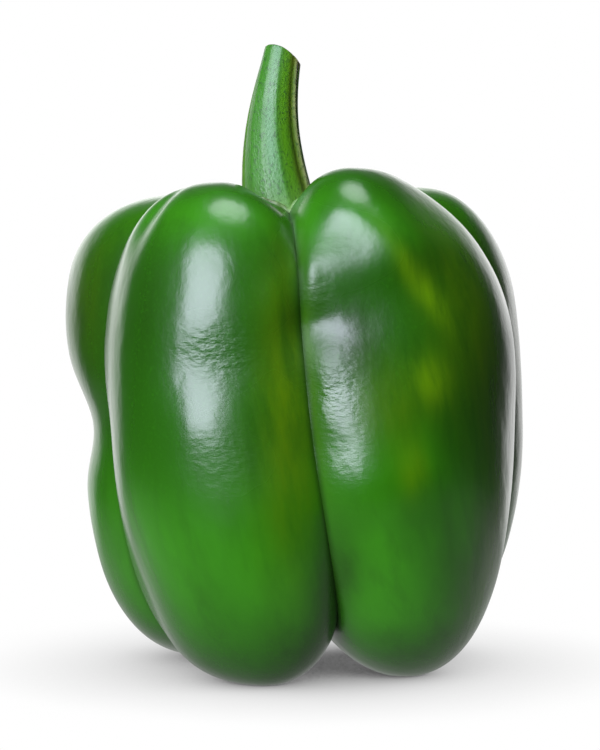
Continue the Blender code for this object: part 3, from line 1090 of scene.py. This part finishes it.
def floor_material(stage):
    """White floor: a painted soft shadow under the pepper where the camera sees it, and what the skin
    mirrors.
    """
    material = bpy.data.materials.new("white_floor")
    nodes = Nodes(material)
    open_sky = nodes.add("ShaderNodeAmbientOcclusion", {"Distance": stage.shadow_reach}, samples=16)
    # Painted shadow: the floor glows for the camera, and is darker where the pepper shuts out the open
    # space above it.
    shade = nodes.ramp(open_sky.outputs["AO"], PAINTED_FLOOR_SHADOW)
    seen = nodes.add("ShaderNodeEmission", {"Color": shade})
    place = nodes.add("ShaderNodeNewGeometry").outputs["Position"]
    from_spot = nodes.measure("DISTANCE", place, DARK_SPOT)
    beside = nodes.spread(from_spot, *DARK_SPOT_EDGE, DARK_SPOT_SHARE, 1.0)
    away = nodes.measure("LENGTH", place)
    near = nodes.math("MULTIPLY", beside, nodes.spread(away, *NEAR_EDGE, 1.0, FAR_SHARE))
    outward = nodes.add("ShaderNodeVectorMath", {0: place}, operation="NORMALIZE").outputs["Vector"]
    behind = nodes.spread(nodes.measure("DOT_PRODUCT", outward, BRIGHT_WALL), *WALL_EDGE)
    behind = nodes.math("MULTIPLY", behind, nodes.spread(away, *BEHIND_EDGE))
    lit = nodes.math("ADD", nodes.math("MULTIPLY", near, NEAR_STRENGTH), behind)
    lit = nodes.spread(lit, 0.0, 1.0, 0.0, FLOOR_STRENGTH)
    mirrored = nodes.add("ShaderNodeEmission", {"Strength": lit, "Color": WHITE})
    nodes.finish(nodes.seen_and_mirrored(seen, mirrored))
    return material


def studio_world():
    """A dark studio with one bright wall, which is white where the camera sees it."""
    world = bpy.data.worlds.new("studio")
    nodes = Nodes(world)
    direction = nodes.add("ShaderNodeTexCoord").outputs["Generated"]
    across = nodes.spread(nodes.measure("DOT_PRODUCT", direction, BRIGHT_WALL), *WALL_EDGE)
    height = nodes.add("ShaderNodeSeparateXYZ", {"Vector": direction}).outputs["Z"]
    low = nodes.spread(height, *WALL_TOP, 1.0, WALL_SHARE_ABOVE)
    on_wall = nodes.math("MULTIPLY", across, low)
    strength = nodes.spread(on_wall, 0.0, 1.0, *SURROUND_STRENGTH)
    mirrored = nodes.add("ShaderNodeBackground", {"Strength": strength, "Color": WHITE})
    seen = nodes.add("ShaderNodeBackground", {"Color": WHITE})
    nodes.finish(nodes.seen_and_mirrored(seen, mirrored), "ShaderNodeOutputWorld")
    return world


def face_point(thing, point):
    """Turns a lamp or camera to look at a point."""
    thing.rotation_euler = (Vector(point) - thing.location).to_track_quat("-Z", "Y").to_euler()


def add_lamp(lamp, strength):
    """One soft lamp, facing the pepper."""
    data = bpy.data.lights.new(lamp.name, "AREA")
    data.shape = lamp.shape
    data.size = lamp.width
    data.size_y = lamp.tall
    data.energy = strength * lamp.radiance * math.pi * lamp.width * lamp.tall
    data.color = lamp.colour
    thing = bpy.data.objects.new(lamp.name, data)
    bpy.context.scene.collection.objects.link(thing)
    angle = math.radians(lamp.azimuth)
    thing.location = (lamp.distance * math.sin(angle), -lamp.distance * math.cos(angle), lamp.height)
    face_point(thing, (0.0, 0.0, LAMP_AIM))


def add_camera(stage):
    """The camera, at the photograph's viewing angle."""
    data = bpy.data.cameras.new("camera")
    data.lens = LENS
    data.sensor_width = FILM_WIDTH
    camera = bpy.data.objects.new("camera", data)
    bpy.context.scene.collection.objects.link(camera)
    middle = -BOX_MIDDLE[1] * MM
    camera.location = (stage.aim_across, middle - stage.camera_distance, stage.camera_height)
    face_point(camera, (stage.aim_across, middle, stage.aim_height))
    bpy.context.scene.camera = camera


def dress(piece, node):
    """Makes a piece stand for its CAD node and move with it."""
    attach(piece, BODY)
    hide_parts(node)


class PEPPER_OT_fruit(bpy.types.Operator):
    """Build the fruit: four lobes, their grooves, and the waxy skin"""

    bl_idname = "pepper.fruit"
    bl_label = "Fruit"

    def execute(self, context):
        if "fruit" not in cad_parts:
            raise RuntimeError("the packed model has no fruit to dress")
        wall = fruit_wall()
        marks = tone_marks(wall)
        marks["grain"] = grain_mark(wall)
        # Painted highlight down the front groove.
        marks["crease"] = painted_glint_mark(wall)
        marks["blossom"] = blossom_mark(wall)
        # Painted shade: where the skin is darkened along each groove's bottom.
        marks["painted_groove_shade"] = hump((1.0 - wall.across) / GROOVE_SHADE_HALF_WIDTH)
        grooves = np.arange(len(CRESTS)) * 2 * COLUMNS_PER_HALF_LOBE
        piece = mesh_object("pepper_fruit", wall.points, marks, grooves)
        piece.data.materials.append(skin_material(context.scene.pepper_skin))
        dress(piece, "fruit")
        return {"FINISHED"}


class PEPPER_OT_stem(bpy.types.Operator):
    """Build the ribbed stem, its slanted cut and the calyx at its foot"""

    bl_idname = "pepper.stem"
    bl_label = "Stem and calyx"

    def execute(self, context):
        if "stem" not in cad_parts:
            raise RuntimeError("the packed model has no stem to dress")
        grid, shares, outs = stem_grid(fruit_wall())
        marks = stem_marks(shares, outs)
        marks["grain"] = stem_grain(shares, outs)
        piece = mesh_object("pepper_stem", grid, marks)
        piece.data.materials.append(stem_material(context.scene.pepper_stem))
        piece.data.materials.append(cut_material(context.scene.pepper_stem))
        cut_faces = STEM_COLUMNS * CUT_RINGS
        for face in piece.data.polygons[:cut_faces]:
            face.material_index = 1
        dress(piece, "stem")
        return {"FINISHED"}


class PEPPER_OT_stage(bpy.types.Operator):
    """Build the white floor, the soft lamps, the surround and the camera"""

    bl_idname = "pepper.stage"
    bl_label = "Stage"

    def execute(self, context):
        stage = context.scene.pepper_stage
        if stage.camera_distance <= 0.0:
            raise RuntimeError("the camera has to stand away from the pepper")
        half = stage.floor_half_size
        corners = [(-half, -half), (half, -half), (half, half), (-half, half)]
        corners = [(*corner, FLOOR_HEIGHT) for corner in corners]
        mesh = bpy.data.meshes.new("floor")
        mesh.from_pydata(corners, [], [(0, 1, 2, 3)])
        mesh.materials.append(floor_material(stage))
        floor = bpy.data.objects.new("floor", mesh)
        context.scene.collection.objects.link(floor)
        for lamp in LAMPS:
            add_lamp(lamp, stage.lamp_strength)
        context.scene.world = studio_world()
        context.scene.view_settings.view_transform = "Standard"
        add_camera(stage)
        return {"FINISHED"}


class PEPPER_PT_panel(bpy.types.Panel):
    """Buttons and settings of the bell pepper"""

    bl_idname = "PEPPER_PT_panel"
    bl_label = "Bell Pepper"
    bl_space_type = "VIEW_3D"
    bl_region_type = "UI"
    bl_category = "Pepper"

    def draw(self, context):
        for operator, group in zip(OPERATORS, SETTINGS):
            box = self.layout.box()
            box.operator(operator.bl_idname)
            settings = getattr(context.scene, group)
            for name in settings.__annotations__:
                box.prop(settings, name)


OPERATORS = (PEPPER_OT_fruit, PEPPER_OT_stem, PEPPER_OT_stage)
SETTINGS = {
    "pepper_skin": PepperSkinSettings,
    "pepper_stem": PepperStemSettings,
    "pepper_stage": PepperStageSettings,
}
CLASSES = (*SETTINGS.values(), *OPERATORS, PEPPER_PT_panel)


def register():
    """Adds the buttons and settings to Blender."""
    for kind in CLASSES:
        bpy.utils.register_class(kind)
    for name, settings in SETTINGS.items():
        setattr(bpy.types.Scene, name, bpy.props.PointerProperty(type=settings))


def unregister():
    """Takes the buttons and settings away again."""
    for name in SETTINGS:
        delattr(bpy.types.Scene, name)
    for kind in reversed(CLASSES):
        bpy.utils.unregister_class(kind)


def main():
    """Builds every piece and the stage."""
    register()
    bpy.ops.pepper.fruit()
    bpy.ops.pepper.stem()
    bpy.ops.pepper.stage()


if __name__ == "__main__":
    main()
